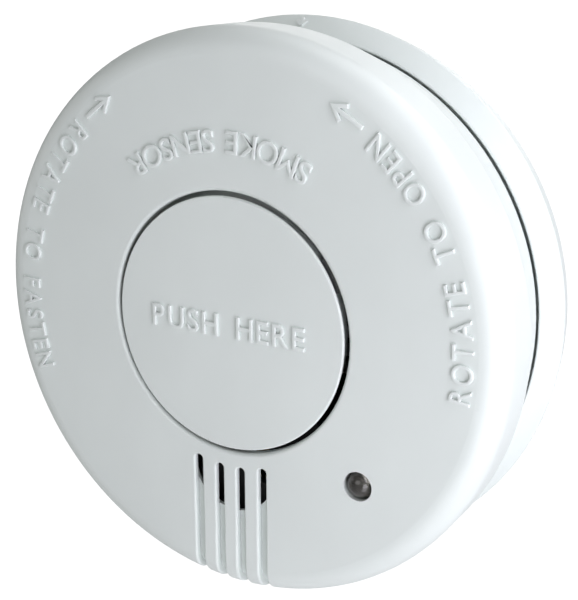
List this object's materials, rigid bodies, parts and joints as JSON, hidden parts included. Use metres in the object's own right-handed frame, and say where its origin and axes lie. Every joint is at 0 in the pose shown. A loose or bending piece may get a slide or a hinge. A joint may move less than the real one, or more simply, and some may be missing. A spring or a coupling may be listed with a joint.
{
  "type": "smoke detector",
  "caption": "Round battery smoke detector with a test button, vent grooves and a status lamp, twisted onto a mounting bracket.",
  "frame": {"origin": "centre of the mounting bracket's back face, which lies on the wall or ceiling", "axes": "+Y into the wall, so the button side faces -Y; +Z is the top of the face with the vent grooves at the bottom; +X to the viewer's right. For a ceiling, turn the part so that +Y points up."},
  "size_m": [0.1018, 0.0328, 0.1018],
  "materials": {
    "white_plastic": "fine moulded, semi-matt white",
    "dark_plastic": "matt black",
    "board": "green solder mask",
    "clear_lens": "clear moulded resin",
    "spring_steel": "drawn steel",
    "screw_steel": "zinc plated",
    "brass_disc": "rolled brass",
    "ceramic": "fired ceramic",
    "can_aluminium": "drawn can",
    "battery_case": "plain grey wrapped steel case",
    "nickel": "nickel plated",
    "red_insulation": "red PVC",
    "black_insulation": "black PVC"
  },
  "bodies": {
    "bracket": {"mounting_bracket": "white_plastic"},
    "alarm": {"front_cover": "white_plastic", "chassis": "white_plastic", "button_spring": "spring_steel", "circuit_board": "board", "switch_body": "dark_plastic", "chamber_base": "dark_plastic", "chamber_cover": "dark_plastic", "insect_screen": "spring_steel", "ir_emitter": "clear_lens", "photodiode": "clear_lens", "sounder_housing": "dark_plastic", "sounder_retainer": "dark_plastic", "piezo_disc": "brass_disc", "piezo_ceramic": "ceramic", "piezo_contacts": "brass_disc", "status_led": "clear_lens", "led_leads": "spring_steel", "microcontroller": "dark_plastic", "capacitors": "can_aluminium", "resistors": "ceramic", "diode": "dark_plastic", "inductor": "dark_plastic", "transistor": "dark_plastic", "battery": "battery_case", "battery_terminals": "nickel", "battery_connector": "dark_plastic", "battery_lead_red": "red_insulation", "battery_lead_black": "black_insulation", "housing_screws": "screw_steel", "board_screws": "screw_steel"},
    "button": {"test_button": "white_plastic"},
    "plunger": {"switch_plunger": "dark_plastic"}
  },
  "joints": [
    {"name": "alarm_twist", "type": "hinge", "parent": "bracket", "child": "alarm", "pos_m": [0, 0, 0], "axis": [0, -1, 0], "range_deg": [0, 15]},
    {"name": "button_press", "type": "slide", "parent": "alarm", "child": "button", "axis": [0, 1, 0], "range_m": [0, 0.001], "stiffness_N_per_m": 400, "springref_m": -0.0015, "deforming": ["button_spring"]},
    {"name": "plunger_press", "type": "slide", "parent": "alarm", "child": "plunger", "axis": [0, 1, 0], "range_m": [0, 0.001]}
  ],
  "couplings": [
    {"joint": "plunger_press", "follows": "button_press", "ratio": 1}
  ]
}
